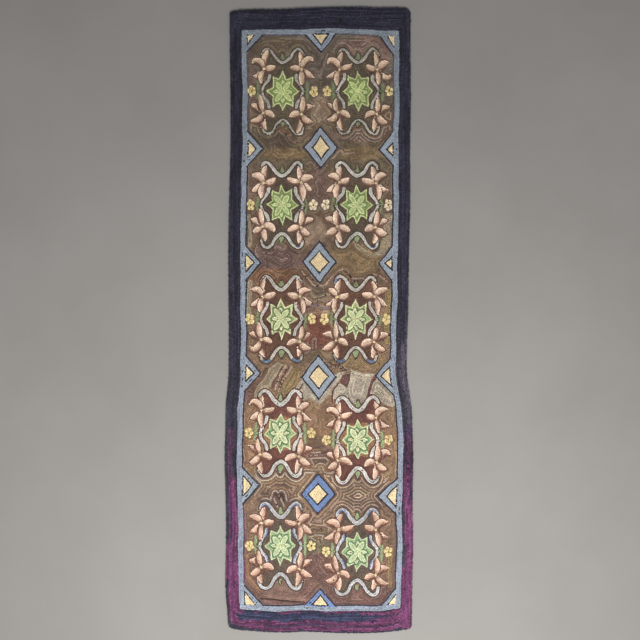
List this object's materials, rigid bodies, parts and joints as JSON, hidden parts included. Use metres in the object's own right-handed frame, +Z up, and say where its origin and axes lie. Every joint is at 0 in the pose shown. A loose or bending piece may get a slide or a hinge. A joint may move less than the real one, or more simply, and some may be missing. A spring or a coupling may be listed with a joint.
{
  "type": "hooked rug",
  "caption": "Long narrow hooked wool runner with looped pile on burlap: star and lily medallions in brown, a blue inner frame and a dark outer border. Lies flat on a floor.",
  "frame": {"origin": "on the floor, at the middle of the rug's box, on its flat underside", "axes": "+X across the rug, +Y along it towards the all-navy end, +Z up through the pile"},
  "size_m": [0.7636, 2.5402, 0.009],
  "materials": {
    "hooked_wool": "matt looped wool pile in many colours on a burlap foundation"
  },
  "bodies": {
    "root": {"hooked_rug": "hooked_wool"}
  },
  "joints": []
}
